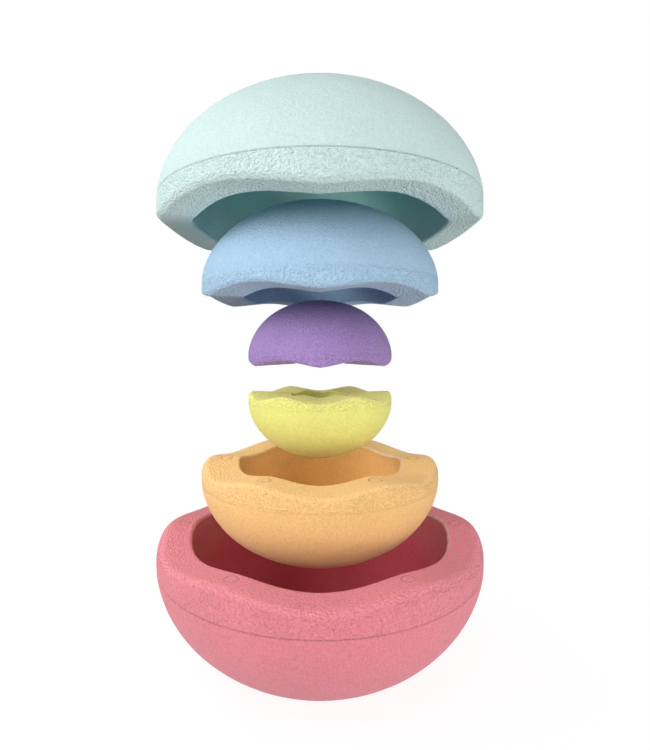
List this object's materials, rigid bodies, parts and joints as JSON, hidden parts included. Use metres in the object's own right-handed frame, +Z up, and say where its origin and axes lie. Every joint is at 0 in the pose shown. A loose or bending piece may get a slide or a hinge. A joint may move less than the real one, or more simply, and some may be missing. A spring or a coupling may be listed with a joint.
{
  "type": "nesting foam cup set",
  "caption": "Nesting foam cups with wavy rims, drawn apart on one axis as a tower; bowl-up and dome-up cups close into a ball.",
  "frame": {"origin": "centre of the lowest cup's flat foot, on the surface that the tower stands on", "axes": "+Z up along the common axis of the cups; -Y towards the viewer, where the bowl-up rims have a trough; +X to the right"},
  "size_m": [0.275, 0.275, 0.4793],
  "materials": {
    "foam_pink": "matte",
    "foam_orange": "matte",
    "foam_yellow": "matte",
    "foam_purple": "matte",
    "foam_blue": "matte",
    "foam_mint": "matte"
  },
  "bodies": {
    "large_lower": {"cup_large_lower": "foam_pink"},
    "medium_lower": {"cup_medium_lower": "foam_orange"},
    "small_lower": {"cup_small_lower": "foam_yellow"},
    "small_upper": {"cup_small_upper": "foam_purple"},
    "medium_upper": {"cup_medium_upper": "foam_blue"},
    "large_upper": {"cup_large_upper": "foam_mint"}
  },
  "joints": [
    {"name": "medium_lower_lift", "type": "slide", "parent": "large_lower", "child": "medium_lower", "axis": [0, 0, 1], "range_m": [-0.058, 0.04]},
    {"name": "small_lower_lift", "type": "slide", "parent": "medium_lower", "child": "small_lower", "axis": [0, 0, 1], "range_m": [-0.059, 0.02]},
    {"name": "small_upper_lift", "type": "slide", "parent": "small_lower", "child": "small_upper", "axis": [0, 0, 1], "range_m": [-0.0266, 0.025]},
    {"name": "medium_upper_lift", "type": "slide", "parent": "small_upper", "child": "medium_upper", "axis": [0, 0, 1], "range_m": [-0.056, 0.02]},
    {"name": "large_upper_lift", "type": "slide", "parent": "medium_upper", "child": "large_upper", "axis": [0, 0, 1], "range_m": [-0.06, 0.04]}
  ]
}
